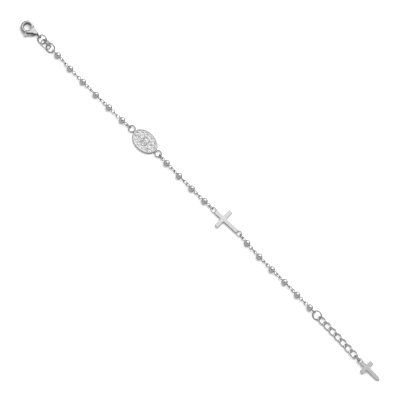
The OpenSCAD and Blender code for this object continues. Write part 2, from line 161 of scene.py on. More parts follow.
# The medal's soldered rings.
LOOP_Z, LOOP_SINK = 0.85, 0.1
CROSS_EYE_WIRE, CROSS_BAR_AT, CROSS_EYE_RISE = 0.5, 5.6, 0.1
# Rise and fall of a curb link's wire, and the number of links.
TWIST, EXT_LINKS = 0.43, 7
DROP_EYE, DROP_EYE_WIRE, DROP_BAR_AT, DROP_RING_WIRE, DROP_ROLL = 2.5, 0.55, 3.8, 0.55, -68


def sind(d):
    return sin(radians(d))


def cosd(d):
    return cos(radians(d))


def tand(d):
    return tan(radians(d))


def lay_out(m):
    """Place of every piece in millimetres, worked out along the chain as for the solids."""
    at = SimpleNamespace()
    reach = (m.pitch - m.link) / 2 + 2 * m.wire + m.play
    at.reach, at.wire_reach = reach, reach - m.wire / 2
    at.eye_length = reach - m.bead / 2 - 0.1
    bead_z = m.bead / 2
    clasp_z = m.clasp / 2
    r = (m.ring - m.ring_wire) / 2

    def in_tag(roll):
        """Height at which a ring of this roll passes the tag."""
        return TAG_Z + TAG_HOLE_Y * (tand(roll) - tand(TAG_ROLL))

    def lift(ends):
        """Lean of a ring between the heights of its two ends."""
        return degrees(asin((ends[1] - ends[0]) / (2 * r)))

    a_roll, c_roll, e_roll = CLASP_RING_ROLL, TAG_RING_ROLL, EXT_RING_ROLL
    a_ends = (
        clasp_z + 0.06 - (CLASP_Y + EYE_AT[1] - CLASP_RING_Y) * tand(a_roll),
        in_tag(a_roll) + (CLASP_RING_Y - TAG_Y) * tand(a_roll),
    )
    c_ends = (in_tag(c_roll) + (TAG_RING_Y - TAG_Y) * tand(c_roll), bead_z - 0.1 * tand(c_roll))
    e_z = 0.02 + m.ring_wire / 2 + r * sind(e_roll)
    e_lift = degrees(asin((e_z - (bead_z - 0.1 * tand(e_roll))) / r))

    hook_x = m.hook / 2
    a_x = hook_x + EYE_AT[0] + EYE_SHIFT + r * cosd(lift(a_ends))
    tag_x = a_x + TAG_STEP
    c_x = tag_x + TAG_STEP
    first = c_x + r * cosd(lift(c_ends)) - m.ring_wire / 2 - m.play - m.wire + reach
    inside = m.link - 2 * m.wire
    dip_reach, dip_drop = at.wire_reach * cosd(DIP), at.wire_reach * sind(DIP)

    def span(wire, free, drop):
        """Level distance that a link bridges to an eye of this wire, with play and a drop."""
        return sqrt((inside - (m.wire + wire) / 2 - 2 * free) ** 2 - drop * drop)

    cross_z = m.cross_thickness / 2
    cross_eye_z = cross_z + CROSS_EYE_RISE
    medal_step = dip_reach + span(m.loop_wire, 0.3, bead_z - dip_drop - LOOP_Z)
    cross_step = dip_reach + span(CROSS_EYE_WIRE, 0.2, bead_z - dip_drop - cross_eye_z)
    at.loop_at = (m.medal + m.loop) / 2 - LOOP_SINK
    medal_reach = at.loop_at + (m.loop - m.loop_wire) / 2
    cross_reach = m.cross_span / 2 + (m.cross_eye - CROSS_EYE_WIRE) / 2
    starts = [first]
    starts.append(starts[0] + 5 * (m.pitch - GROUPS[0][2]) + 2 * (medal_step + medal_reach))
    starts.append(starts[1] + 3 * (m.pitch - GROUPS[1][2]) + 2 * (cross_step + cross_reach))
    bead_x = {
        i: start + (i - low) * (m.pitch - slack)
        for start, (low, high, slack) in zip(starts, GROUPS)
        for i in range(low, high + 1)
    }
    medal_x = bead_x[6] + medal_step + medal_reach
    cross_x = bead_x[10] + cross_step + cross_reach
    e_x = bead_x[16] + reach - m.wire - m.play - m.ring_wire / 2 + r * cosd(e_lift)

    a = (m.ext - m.ext_wire) / 2
    start = r - m.ring_wire / 2 - m.ext_wire / 2 - 0.18
    flat_z = TWIST + m.ext_wire / 2
    d_r = (m.drop_ring - DROP_RING_WIRE) / 2
    steep = abs(sind(DROP_ROLL))
    d_z = DROP_RING_WIRE / 2 + d_r * steep
    hold = 0.6
    joint = d_r - DROP_RING_WIRE / 2 - m.ext_wire / 2 - 0.13
    joint_z = d_z - sqrt(joint * joint - hold * hold) * steep
    heights = (e_z + start * sind(e_lift), 0.88, flat_z, flat_z, flat_z, flat_z, 0.85, joint_z)
    slopes = [degrees(asin((high - low) / (2 * a))) for low, high in zip(heights, heights[1:])]
    xs = [e_x + start + a * cosd(slopes[0])]
    for k in range(1, EXT_LINKS):
        xs.append(xs[-1] + a * (cosd(slopes[k - 1]) + cosd(slopes[k])) - m.ext_wire - 0.14)
    eye_r = (DROP_EYE - DROP_EYE_WIRE) / 2
    d_x = xs[-1] + a * cosd(slopes[-1]) + hold
    tilt = degrees(asin((joint_z - m.drop_thickness / 2) / (m.drop + eye_r)))
    drop_x = d_x + hold + eye_r * cosd(tilt)
    drop_z = m.drop_thickness / 2 + m.drop * sind(tilt)
    full = drop_x + m.drop * cosd(tilt) + m.drop_thickness / 2 * sind(tilt)

    bar_y = CROSS_Y + (CROSS_BAR_AT - m.cross_span / 2) * sind(CROSS_TURN)
    top = bar_y + m.cross_bar / 2 * cosd(CROSS_TURN) + m.cross_width / 2 * sind(CROSS_TURN)
    centre = Vector((full / 2, (top + DROP_Y - m.drop_bar / 2) / 2, 0))

    def here(x, y, z, roll=0, pitch=0, yaw=0):
        return Matrix.Translation(Vector((x, y, z)) - centre) @ turned(roll, pitch, yaw)

    medal_way = Vector((cosd(MEDAL_TURN), sind(MEDAL_TURN), 0))
    medal_mid = Vector((medal_x, MEDAL_Y, LOOP_Z))
    cross_way = Vector((cosd(CROSS_TURN), sind(CROSS_TURN), 0))
    cross_mid = Vector((cross_x, CROSS_Y, cross_eye_z))
    # What the first and the last bead of each stretch hang on.
    before = {
        1: (c_x, TAG_RING_Y),
        7: medal_mid + medal_reach * medal_way,
        11: cross_mid + cross_reach * cross_way,
    }
    after = {
        6: medal_mid - medal_reach * medal_way,
        10: cross_mid - cross_reach * cross_way,
        16: (e_x, EXT_RING_Y),
    }
    at.beads, ends = {}, {}
    for i in range(1, BEADS + 1):
        p = before.get(i) or (bead_x[i - 1], BEAD_YS[i - 2])
        q = after.get(i) or (bead_x[i + 1], BEAD_YS[i])
        yaw = degrees(atan2(q[1] - p[1], q[0] - p[0]))
        dip = {6: -DIP, 10: -DIP, 7: DIP, 11: DIP}.get(i, 0)
        at.beads[i] = here(bead_x[i], BEAD_YS[i - 1], bead_z, 0, -dip, yaw)
        for side in (-1, 1):
            ends[i, side] = at.beads[i] @ Vector((side * at.wire_reach, 0, 0))

    def facing(eye, eye_r, p):
        """Point of an eye's wire that looks towards p."""
        d = Vector((p.x - eye.x, p.y - eye.y, 0))
        return eye + eye_r * d.normalized()

    def between(p, q, roll):
        """Place of a link that runs from p to q."""
        d = q - p
        return Matrix.Translation((p + q) / 2) @ turned(
            roll, -degrees(atan2(d.z, Vector((d.x, d.y)).length)), degrees(atan2(d.y, d.x))
        )

    links = []
    for low, high, _ in GROUPS:
        for i in range(low, high):
            roll = (EYE_ROLLS[i - 1][1] + EYE_ROLLS[i][0]) / 2 + 90
            links.append((i, ends[i, 1], ends[i + 1, -1], roll))
    loop_r, cross_eye_r = (m.loop - m.loop_wire) / 2, (m.cross_eye - CROSS_EYE_WIRE) / 2
    for i, side, eye, eye_r in (
        (6, 1, medal_mid - at.loop_at * medal_way - centre, loop_r),
        (7, -1, medal_mid + at.loop_at * medal_way - centre, loop_r),
        (10, 1, cross_mid - m.cross_span / 2 * cross_way - centre, cross_eye_r),
        (11, -1, cross_mid + m.cross_span / 2 * cross_way - centre, cross_eye_r),
    ):
        p = ends[i, side]
        q = facing(eye, eye_r, p)
        roll = EYE_ROLLS[i - 1][1 if side == 1 else 0] + 90
        links.append((i, p, q, roll) if side == 1 else (i, q, p, roll))
    at.links = [(i, between(p, q, roll)) for i, p, q, roll in links]

    at.clasp = here(hook_x, CLASP_Y, clasp_z)
    at.clasp_ring = here(a_x, CLASP_RING_Y, sum(a_ends) / 2, a_roll, -lift(a_ends))
    at.tag_ring = here(c_x, TAG_RING_Y, sum(c_ends) / 2, c_roll, -lift(c_ends))
    at.tag = here(tag_x, TAG_Y, TAG_Z, TAG_ROLL)
    at.medal = here(medal_x, MEDAL_Y, 0, 0, 0, MEDAL_TURN)
    at.cross = here(cross_x, CROSS_Y, cross_z, 0, 0, CROSS_TURN)
    at.extension_ring = here(e_x, EXT_RING_Y, e_z, e_roll, -e_lift)
    at.ext = []
    for k in range(EXT_LINKS):
        low, high = max(k - 1, 0), min(k + 1, EXT_LINKS - 1)
        # The last link lies straight along the chain.
        aside = EXT_YS[high] - EXT_YS[low] if k < high else 0
        yaw = degrees(atan2(aside, xs[high] - xs[low]))
        at.ext.append(here(xs[k], EXT_YS[k], (heights[k] + heights[k + 1]) / 2, 0, -slopes[k], yaw))
    at.drop_ring = here(d_x, (EXT_YS[-1] + DROP_Y) / 2 - 0.18, d_z, DROP_ROLL)
    at.drop_cross = here(drop_x, DROP_Y, drop_z, 0, tilt)
    return at


def turned(roll, pitch, yaw):
    """Turns about X, then Y, then Z, in degrees."""
    return (
        Matrix.Rotation(radians(yaw), 4, "Z")
        @ Matrix.Rotation(radians(pitch), 4, "Y")
        @ Matrix.Rotation(radians(roll), 4, "X")
    )


# ---- small steps that every piece is made with ----
def alone(*objs):
    """Selects these objects only, the first of them active."""
    bpy.ops.object.select_all(action="DESELECT")
    for o in objs:
        o.select_set(True)
    bpy.context.view_layer.objects.active = objs[0]
    return objs[0]


def fresh():
    bpy.ops.object.select_all(action="DESELECT")


def made():
    return bpy.context.view_layer.objects.active


def choose(obj, kind, test):
    """Opens the object for editing with only the verts or faces selected that pass the test."""
    alone(obj)
    mesh = obj.data
    for part in (mesh.vertices, mesh.edges, mesh.polygons):
        part.foreach_set("select", [False] * len(part))
    bpy.context.tool_settings.mesh_select_mode = (kind == "VERT", False, kind == "FACE")
    for item in mesh.vertices if kind == "VERT" else mesh.polygons:
        item.select = bool(test(item))
    bpy.ops.object.mode_set(mode="EDIT")


def opened(obj):
    alone(obj)
    bpy.ops.object.mode_set(mode="EDIT")
    bpy.ops.mesh.select_all(action="SELECT")


def closed():
    bpy.ops.object.mode_set(mode="OBJECT")


def tidy(obj):
    """Merges doubles and turns the faces outwards."""
    opened(obj)
    bpy.ops.mesh.remove_doubles(threshold=1e-4)
    bpy.ops.mesh.normals_make_consistent(inside=False)
    closed()
    return obj


def modified(obj, kind, **values):
    """Adds a modifier with these values and applies it."""
    alone(obj)
    mod = obj.modifiers.new(kind, kind)
    for key, value in values.items():
        setattr(mod, key, value)
    bpy.ops.object.modifier_apply(modifier=mod.name)
    return obj


def merged(whole, *others, how="UNION"):
    """Joins or cuts one solid with others, which are used up."""
    for other in others:
        modified(whole, "BOOLEAN", operation=how, solver="EXACT", object=other)
        bpy.data.objects.remove(other)
    return whole


def cut(whole, *tools):
    return merged(whole, *tools, how="DIFFERENCE")


def joined(*objs):
    alone(*objs)
    bpy.ops.object.join()
    return made()


def copied(obj):
    alone(obj)
    bpy.ops.object.duplicate()
    return made()


def applied(obj):
    """Puts the object's place into its mesh."""
    alone(obj)
    bpy.ops.object.transform_apply(location=True, rotation=True, scale=True)
    return obj


def moved(obj, matrix):
    alone(obj)
    obj.matrix_world = matrix @ obj.matrix_world
    return applied(obj)


def parted(obj, axis, shift):
    """Moves the two halves of a form apart along an axis."""
    for side in (-1, 1):
        choose(obj, "VERT", lambda v: v.co[axis] * side > 1e-4)
        bpy.ops.transform.translate(value=[side * shift if i == axis else 0 for i in range(3)])
        closed()
    return obj


def rounded(obj, width, segments=3, limit=30):
    """Bevels the edges that turn more than the limit, in degrees."""
    return modified(
        obj, "BEVEL", width=width, segments=segments, limit_method="ANGLE", angle_limit=radians(limit)
    )


def delivered(obj, name, material, nodes, body=BODY, smooth=35, flat=False):
    """Brings a finished piece to metres and gives it its name, finish and body. Faces flow into each other
    up to the smooth angle in degrees, and flat keeps the large ones even."""
    moved(obj, Matrix.Scale(MM, 4))
    bpy.ops.object.shade_smooth_by_angle(angle=radians(smooth))
    if flat:
        modified(obj, "WEIGHTED_NORMAL", mode="FACE_AREA", weight=100, keep_sharp=True)
    obj.name = name
    obj.data.name = name
    obj.data.materials.clear()
    obj.data.materials.append(material)
    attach(obj, body)
    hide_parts(*nodes)
    return obj


# ---- forms ----
def soldered_ring(outside, wire, around=64, sides=16):
    fresh()
    bpy.ops.mesh.primitive_torus_add(
        major_radius=(outside - wire) / 2, minor_radius=wire / 2,
        major_segments=around, minor_segments=sides,
    )
    return made()


def split_ring(outside, wire, seam=1.1, around=72, sides=16):
    """A jump ring bent from wire: a round section spun almost all the way round, which leaves a seam
    of so many degrees between its ends."""
    fresh()
    bpy.ops.mesh.primitive_circle_add(vertices=sides, radius=wire / 2, rotation=(pi / 2, 0, 0))
    ring = applied(made())
    moved(ring, Matrix.Translation(((outside - wire) / 2, 0, 0)))
    opened(ring)
    bpy.ops.mesh.spin(steps=around, angle=2 * pi - radians(seam), center=(0, 0, 0), axis=(0, 0, 1))
    bpy.ops.mesh.select_all(action="SELECT")
    bpy.ops.mesh.fill_holes(sides=0)
    closed()
    tidy(ring)
    return rounded(ring, wire * 0.08, 2, 60)


def oval_ring(outside, opening, wire, around=40, sides=12):
    """A round ring drawn out: its two halves are moved apart."""
    bend = opening + 2 * wire
    return parted(soldered_ring(bend, wire, around, sides), 0, (outside - bend) / 2)


def wire_along(points, thickness, closed_loop=False, sides=3):
    """A drawn wire that follows the points."""
    fresh()
    bpy.ops.curve.primitive_nurbs_path_add()
    wire = made()
    shape = wire.data
    shape.splines.clear()
    spline = shape.splines.new("POLY")
    spline.points.add(len(points) - 1)
    for target, p in zip(spline.points, points):
        target.co = (p[0], p[1], p[2], 1)
    spline.use_cyclic_u = closed_loop
    shape.bevel_depth = thickness / 2
    shape.bevel_resolution = sides
    shape.use_fill_caps = not closed_loop
    alone(wire)
    bpy.ops.object.convert(target="MESH")
    return tidy(made())


def eye_pin(m, at, left_roll, right_roll):
    """One wire: an eye bent at one end, the shaft through the bead, and an eye at the other end."""
    bend = (m.opening + m.wire) / 2
    straight = (at.eye_length - m.wire - 2 * bend) / 2
    near = at.reach - at.eye_length + m.wire / 2
    mid = at.reach - at.eye_length / 2

    def eye(side, roll):
        points = [(0.75 * near, 0, 0), (near - 0.06, 0.02, 0)]
        for step in range(1, 32):
            t = pi - 2 * pi * step / 32.5
            x = mid + bend * cos(t) + (straight if cos(t) > 0 else -straight)
            points.append((x, bend * sin(t), 0))
        turn = Matrix.Rotation(radians(roll), 3, "X")
        return [turn @ Vector((side * p[0], p[1], p[2])) for p in points]

    left, right = eye(-1, left_roll), eye(1, right_roll)
    return wire_along(left[::-1] + right, m.wire)


def round_bead(d, bore):
    """A polished ball with its poles on the bore, cut open at both and bridged through."""
    fresh()
    bpy.ops.mesh.primitive_uv_sphere_add(
        segments=48, ring_count=28, radius=d / 2, rotation=(0, pi / 2, 0)
    )
    bead = applied(made())
    mouth = sqrt(d * d - bore * bore) / 2
    for side in (-1, 1):
        opened(bead)
        bpy.ops.mesh.bisect(plane_co=(side * mouth, 0, 0), plane_no=(side, 0, 0), clear_outer=True)
        closed()
    opened(bead)
    bpy.ops.mesh.select_all(action="DESELECT")
    bpy.ops.mesh.select_mode(type="EDGE")
    bpy.ops.mesh.select_non_manifold()
    bpy.ops.mesh.bridge_edge_loops()
    closed()
    tidy(bead)
    return rounded(bead, 0.03, 2, 40)


def plate(outline, low, high, edge=0, segments=3):
    """A flat piece cut to an outline: a disc of as many corners, drawn to it, raised, its edges eased."""
    fresh()
    bpy.ops.mesh.primitive_circle_add(vertices=len(outline), radius=1, fill_type="NGON")
    piece = made()
    for v, p in zip(piece.data.vertices, outline):
        v.co = (p[0], p[1], low)
    opened(piece)
    bpy.ops.mesh.extrude_region_move(TRANSFORM_OT_translate={"value": (0, 0, high - low)})
    closed()
    tidy(piece)
    return rounded(piece, edge, segments) if edge else piece


def oval_points(half_length, half_width, count=96):
    turns = [2 * pi * k / count for k in range(count)]
    return [(half_length * cos(t), half_width * sin(t)) for t in turns]


def flowing(points, steps=5):
    """A soft curve through the points."""
    ends = [points[0], *points, points[-1]]
    curve = []
    for a, b, c, d in zip(ends, ends[1:], ends[2:], ends[3:]):
        for k in range(steps):
            t = k / steps
            curve.append(tuple(
                b[i] + t * ((c[i] - a[i]) + t * ((2 * a[i] - 5 * b[i] + 4 * c[i] - d[i])
                                                 + t * (3 * b[i] - a[i] - 3 * c[i] + d[i]))) / 2
                for i in (0, 1)))
    return [*curve, points[-1]]


def arc_points(centre, radius, start, end, count):
    steps = [radians(start + (end - start) * k / (count - 1)) for k in range(count)]
    return [(centre[0] + radius * cos(t), centre[1] + radius * sin(t)) for t in steps]


def rod(radius, low, high, at=(0, 0), sides=64):
    fresh()
    bpy.ops.mesh.primitive_cylinder_add(
        vertices=sides, radius=radius, depth=high - low, location=(*at, (low + high) / 2)
    )
    return applied(made())


def block(low, high):
    """A box from its lowest to its highest corner."""
    fresh()
    mid = [(a + b) / 2 for a, b in zip(low, high)]
    bpy.ops.mesh.primitive_cube_add(size=1, location=mid, scale=[b - a for a, b in zip(low, high)])
    return applied(made())


def cross_outline(left, right, half, bar_at, bar_half):
    """A cross lying along X: post from left to right, bar across it at bar_at."""
    a, b = bar_at - half, bar_at + half
    return [
        (left, -half), (a, -half), (a, -bar_half), (b, -bar_half), (b, -half), (right, -half),
        (right, half), (b, half), (b, bar_half), (a, bar_half), (a, half), (left, half),
    ]


def cast(obj, voxel, smooth=4):
    """Melts joined forms into one casting with soft inner corners."""
    modified(obj, "REMESH", mode="VOXEL", voxel_size=voxel, use_smooth_shade=True)
    return modified(obj, "SMOOTH", factor=0.5, iterations=smooth)


# ---- finishes ----
# How much finer than long the wear scratches are along X, Y and Z, and their depth in metres.
SCRATCH_STRETCH, SCRATCH_DEPTH = (1, 6, 3), 0.00002
# The duller of the two tones that the haze mixes, as a share of the silver.
HAZE = 0.9
# Drawn wire is rougher by this much, and its colour is darkened to this share of the silver as painted
# shade.
WIRE_ROUGHER, WIRE_SHADE_TINT = 0.06, 0.65


def added(nodes, kind, values=None, **settings):
    """A new node, the values of its sockets by name or number, and its settings."""
    node = nodes.new(kind)
    for key, value in settings.items():
        setattr(node, key, value)
    for key, value in (values or {}).items():
        node.inputs[key].default_value = value
    return node


def wired(tree, *wires):
    """Joins sockets, each wire given as node, output, node, input."""
    for source, output, target, entry in wires:
        tree.links.new(source.outputs[output], target.inputs[entry])


def handling_group():
    """Uneven polish and fine wear scratches, as masks and a normal."""
    group = bpy.data.node_groups.new("Handling marks", "ShaderNodeTree")
    sockets = group.interface
    for name in ("Roughness", "Spread", "Grain", "Depth"):
        sockets.new_socket(name=name, in_out="INPUT", socket_type="NodeSocketFloat")
    for name, kind in (("Roughness", "Float"), ("Haze", "Float"), ("Normal", "Vector")):
        sockets.new_socket(name=name, in_out="OUTPUT", socket_type=f"NodeSocket{kind}")
    nodes = group.nodes
    entry, leave = nodes.new("NodeGroupInput"), nodes.new("NodeGroupOutput")
    place = nodes.new("ShaderNodeTexCoord")
    cloud = added(nodes, "ShaderNodeTexNoise", {"Detail": 3})
    fine = added(nodes, "ShaderNodeTexNoise", {"Detail": 2})
    stretch = added(nodes, "ShaderNodeMapping", {"Scale": SCRATCH_STRETCH})
    swing = added(nodes, "ShaderNodeMath", operation="MULTIPLY_ADD")
    centre = added(nodes, "ShaderNodeMath", {1: 0.5}, operation="SUBTRACT")
    bump = added(nodes, "ShaderNodeBump", {"Distance": SCRATCH_DEPTH})
    wired(
        group,
        (place, "Object", cloud, "Vector"), (place, "Object", stretch, "Vector"),
        (stretch, "Vector", fine, "Vector"), (entry, "Grain", cloud, "Scale"),
        (entry, "Grain", fine, "Scale"), (cloud, 0, centre, 0), (centre, 0, swing, 0),
        (entry, "Spread", swing, 1), (entry, "Roughness", swing, 2),
        (entry, "Depth", bump, "Strength"), (fine, 0, bump, "Height"),
        (swing, 0, leave, "Roughness"), (cloud, 0, leave, "Haze"), (bump, "Normal", leave, "Normal"),
    )
    return group


def silver(name, roughness, spread=0.04, grain=900.0, depth=0.05, painted_shade_band=None, tint=1.0, shade=0.42):
    """Silver of a given polish, made once for each name; a tint below one darkens its colour as painted
    shade. The painted shade band gives a middle height and the distances from it, all in metres, at which
    the colour is the painted shade and the full tint of the plating, darkest nearest the middle."""
    if name in bpy.data.materials:
        return bpy.data.materials[name]
    finish = bpy.context.scene.bracelet_finish
    # A tint below one darkens the whole piece as painted shade.
    bright = [c * tint for c in finish.silver]
    group = bpy.data.node_groups.get("Handling marks") or handling_group()
    material = bpy.data.materials.new(name)
    material.use_nodes = True
    tree, nodes = material.node_tree, material.node_tree.nodes
    shader = nodes["Principled BSDF"]
    shader.inputs["Metallic"].default_value = 1
    shader.inputs["Base Color"].default_value = (*bright, 1)
    marks = added(nodes, "ShaderNodeGroup", {
        "Roughness": roughness, "Spread": spread, "Grain": grain, "Depth": depth,
    }, node_tree=group)
    # In colour, a Mix node has its factor at input 0, the colours at 6 and 7, and its result at output 2.
    hazed = (*[c * HAZE for c in bright], 1)
    tone = added(nodes, "ShaderNodeMix", data_type="RGBA")
    tone.inputs[6].default_value, tone.inputs[7].default_value = hazed, (*bright, 1)
    wired(tree, (marks, "Haze", tone, 0))
    colour = (tone, 2)
    # Painted shade: the colour is darker the nearer the surface lies to the middle height.
    if painted_shade_band is not None:
        middle, dark_at, bright_at = painted_shade_band
        place = nodes.new("ShaderNodeTexCoord")
        split = nodes.new("ShaderNodeSeparateXYZ")
        mask = added(nodes, "ShaderNodeMapRange", {"From Min": dark_at, "From Max": bright_at})
        height = added(nodes, "ShaderNodeMath", {1: middle}, operation="SUBTRACT")
        away = added(nodes, "ShaderNodeMath", operation="ABSOLUTE")
        dark = added(nodes, "ShaderNodeMix", data_type="RGBA")
        dark.inputs[6].default_value = (*[c * shade for c in finish.silver], 1)
        wired(
            tree, (place, "Object", split, 0), (split, "Z", height, 0), (height, 0, away, 0),
            (away, 0, mask, "Value"), (mask, 0, dark, 0), (*colour, dark, 7),
        )
        colour = (dark, 2)
    wired(
        tree, (*colour, shader, "Base Color"), (marks, "Roughness", shader, "Roughness"),
        (marks, "Normal", shader, "Normal"),
    )
    return material


def polished():
    return silver("polished_silver", bpy.context.scene.bracelet_finish.polish)


def satin():
    return silver("satin_silver", bpy.context.scene.bracelet_finish.satin, 0.08, 700.0, 0.12)


def drawn():
    """Drawn wire, rougher than the cast pieces, its colour darkened as painted shade."""
    return silver("wire_silver", bpy.context.scene.bracelet_finish.polish + WIRE_ROUGHER, tint=WIRE_SHADE_TINT)


# ---- operators ----
class Piece:
    bl_options = {"REGISTER"}

    def execute(self, context):
        m = millimetres(context)
        self.make(context, m, lay_out(m))
        return {"FINISHED"}


# Outlines about the middle of the hook: the cheeks below their crown, the thumb tab with the lever's back,
# its hidden top, and the groove sunk into it along the cheeks, which the lever's painted shade makes dark.
CHEEKS = ((4.9, 1.5), (4.9, 0.3), (3.6, -0.35), (2.6, -1.2), (1.6, -2.1), (1.0, -1.2), (1.2, 0))
LEVER_BACK = (
    (1.02, -2.76), (1.35, -3.12), (1.85, -3.4), (2.25, -3.42), (2.5, -3.1), (2.66, -2.6),
    (2.95, -2.1), (3.6, -1.5), (4.2, -0.98), (4.62, -0.5), (4.55, 0), (4.15, 0.5),
)
LEVER_TOP = ((3.4, 0.54), (2.6, 0.2))
LEVER_GROOVE = (
    (1.3, -1.6), (2.6, -0.6), (3.6, 0.1), (4.9, 0.6), (5, -0.05), (3.8, -0.8), (2.9, -1.58),
    (2, -2.4), (1.3, -2.3),
)
# The rivet, and its bores in the cheeks and the lever.
RIVET_R, CHEEK_BORE, LEVER_BORE = 0.3, 0.33, 0.35
# How far from the clasp's middle plane its painted shade is darkest, in its grooves and round its middle,
# and its faces are at their full tint.
HOOK_SHADE_BAND, LEVER_SHADE_BAND = (0.62, 1.0), (0.24, 0.42)
# The body's groove lies between two radii right of the opening, its floor this far off the middle.
RING_GROOVE, GROOVE_FLOOR = (1.6, 1.93), 0.72
# Half the depth of the cutting tools.
THROUGH = 2


class BRACELET_OT_clasp(Piece, bpy.types.Operator):
    """The lobster clasp: cast body with its turned eye, sprung lever and rivet"""

    bl_idname = "bracelet.clasp"
    bl_label = "Clasp"

    def band(self, m):
        """The hook's whole ring: a torus drawn out to the clasp's thickness."""
        wire = m.hook / 2 - HOLE_R
        return parted(soldered_ring(m.hook, wire, 112, 28), 2, m.clasp / 2 - wire / 2)

    def make(self, context, m, at):
        r, half = m.hook / 2, m.clasp / 2
        hook = self.band(m)
        window = block((-2, -3.5, -THROUGH), (3.5, 0, THROUGH))
        merged(window, rod(TIP_R + GATE_GAP, -THROUGH, THROUGH, PIVOT, 160), how="INTERSECT")
        cut(hook, window)
        crown = ((0.5, 1.5), ((r - 0.08) * cosd(74), (r - 0.08) * sind(74)))
        cheeks = plate((*crown, *CHEEKS)[::-1], -half, half, 0.22, 4)
        cut(cheeks, rod(HOLE_R, -THROUGH, THROUGH))
        eye = soldered_ring(2 * EYE_R, EYE_R - EYE_HOLE_R, 64, 20)
        stretch = EYE_WIDTH / (EYE_R - EYE_HOLE_R)
        upright = turned(90, 0, 0) @ Matrix.Diagonal((1, 1, stretch, 1))
        moved(eye, Matrix.Translation((*EYE_AT, 0)) @ upright)
        neck = rounded(block((4.5, EYE_AT[1] - 0.34, -0.7), (5.15, EYE_AT[1] + 0.34, 0.7)), 0.12, 3)
        body = merged(hook, cheeks, eye, neck)
        cast(body, 0.06, 5)
        cut(
            body,
            block((0.5, SLOT_TOP - 5, -m.lever / 2 - 0.1), (4.6, SLOT_TOP, m.lever / 2 + 0.1)),
            rod(CHEEK_BORE, -THROUGH, THROUGH, PIVOT, 32),
        )
        inside, outside = RING_GROOVE
        for side in (-1, 1):
            low, high = sorted((side * GROOVE_FLOOR, side * THROUGH))
            line = cut(rod(outside, low, high, sides=96), rod(inside, -3, 3, sides=96))
            merged(line, block((0.85, -2.5, -3), (3, 2.5, 3)), how="INTERSECT")
            cut(body, merged(line, block((1.56, 0.75, low), (1.9, 2.7, high))))
        moved(body, at.clasp)
        polish, middle = context.scene.bracelet_finish.polish, at.clasp.translation.z
        # Painted shade: the body is a little darker all over, and darkest in its grooves and round its
        # middle plane.
        shade_heights = [h * MM for h in (middle, *HOOK_SHADE_BAND)]
        finish = silver("clasp_silver", polish, painted_shade_band=shade_heights, tint=0.9, shade=0.3)
        delivered(body, "clasp_hook", finish, ["clasp_body"])

        # The lever: round the opening, along the gate's tip and outside, and back over the thumb tab.
        tip = TIP_R - GATE_GAP
        outline = [
            *arc_points((0, 0), HOLE_R, 334, 227.6, 32),
            *arc_points(PIVOT, tip, 189.8, 215.9, 12)[1:-1],
            *arc_points((0, 0), r, 265.4, 288, 8),
            *flowing(LEVER_BACK),
            *LEVER_TOP,
        ]
        lever = plate(outline[::-1], -m.lever / 2, m.lever / 2, 0.14, 4)
        cut(lever, rod(LEVER_BORE, -THROUGH, THROUGH, PIVOT, 32))
        for side in (-1, 1):
            cut(lever, plate(LEVER_GROOVE, *sorted((side * 0.2, side * 1))))
        reach = block((-2, -3.5, -THROUGH), (0.95, 0, THROUGH))
        merged(reach, rod(tip, -THROUGH, THROUGH, PIVOT, 160), how="INTERSECT")
        merged(lever, merged(self.band(m), reach, how="INTERSECT"))
        tidy(lever)
        moved(lever, at.clasp)
        # Painted shade: the lever is darker than the body, and darkest in its groove and round its middle
        # plane.
        shade_heights = [h * MM for h in (middle, *LEVER_SHADE_BAND)]
        finish = silver("lever_silver", polish, painted_shade_band=shade_heights, tint=0.66, shade=0.12)
        delivered(lever, "clasp_lever_arm", finish, ["clasp_lever"], LEVER, flat=True)

        rivet = rounded(rod(RIVET_R, -half, half, PIVOT, 32), 0.05, 2)
        moved(rivet, at.clasp)
        delivered(rivet, "clasp_rivet", drawn(), ["clasp_pin"], flat=True)


# The small ring stands steep, and is a hair smaller to stay below the solid's top.
RING_ROOM = 0.012
# The tag's opening is a crescent: an oval less a large disc.
DISC_R, DISC_Y = 3.86, 4.11


class BRACELET_OT_rings(Piece, bpy.types.Operator):
    """The jump rings, and the oval tag between two of them"""

    bl_idname = "bracelet.rings"
    bl_label = "Rings and tag"

    def make(self, context, m, at):
        for name, node, place, seam in (
            ("jump_ring_1", "clasp_ring", at.clasp_ring, 70),
            ("jump_ring_2", "tag_ring", at.tag_ring, -60),
            ("jump_ring_3", "extension_ring", at.extension_ring, 80),
        ):
            ring = split_ring(m.ring, m.ring_wire)
            moved(ring, place @ turned(0, 0, seam))
            delivered(ring, name, drawn(), [node])
        ring = split_ring(m.drop_ring - RING_ROOM, DROP_RING_WIRE - RING_ROOM)
        moved(ring, at.drop_ring @ turned(0, 0, 90))
        delivered(ring, "small_ring", drawn(), ["drop_ring"])

        half = m.tag_thickness / 2
        tag = plate(oval_points(m.tag / 2, m.tag_width / 2), -half, half)
        hole = plate(oval_points(m.tag / 2 - 0.4, m.tag_width / 2 - 0.45), -1, 1)
        cut(hole, rod(DISC_R, -2, 2, (0, DISC_Y), 160))
        cut(tag, hole)
        tidy(tag)
        rounded(tag, 0.07, 3)
        moved(tag, at.tag)
        # Painted shade: the tag's colour is darkened to about a third of the silver.
        finish = silver("tag_silver", context.scene.bracelet_finish.satin, 0.1, 2600.0, 1.0, tint=0.36)
        delivered(tag, "oval_tag", finish, ["tag"], flat=True)


class BRACELET_OT_beads(Piece, bpy.types.Operator):
    """The sixteen round beads"""

    bl_idname = "bracelet.beads"
    bl_label = "Beads"

    def make(self, context, m, at):
        first = round_bead(m.bead, m.bore)
        for i in range(1, BEADS + 1):
            bead = copied(first)
            moved(bead, at.beads[i])
            delivered(bead, f"ball_{i:02d}", polished(), [f"bead_{i:02d}"], smooth=60)
        bpy.data.objects.remove(first)


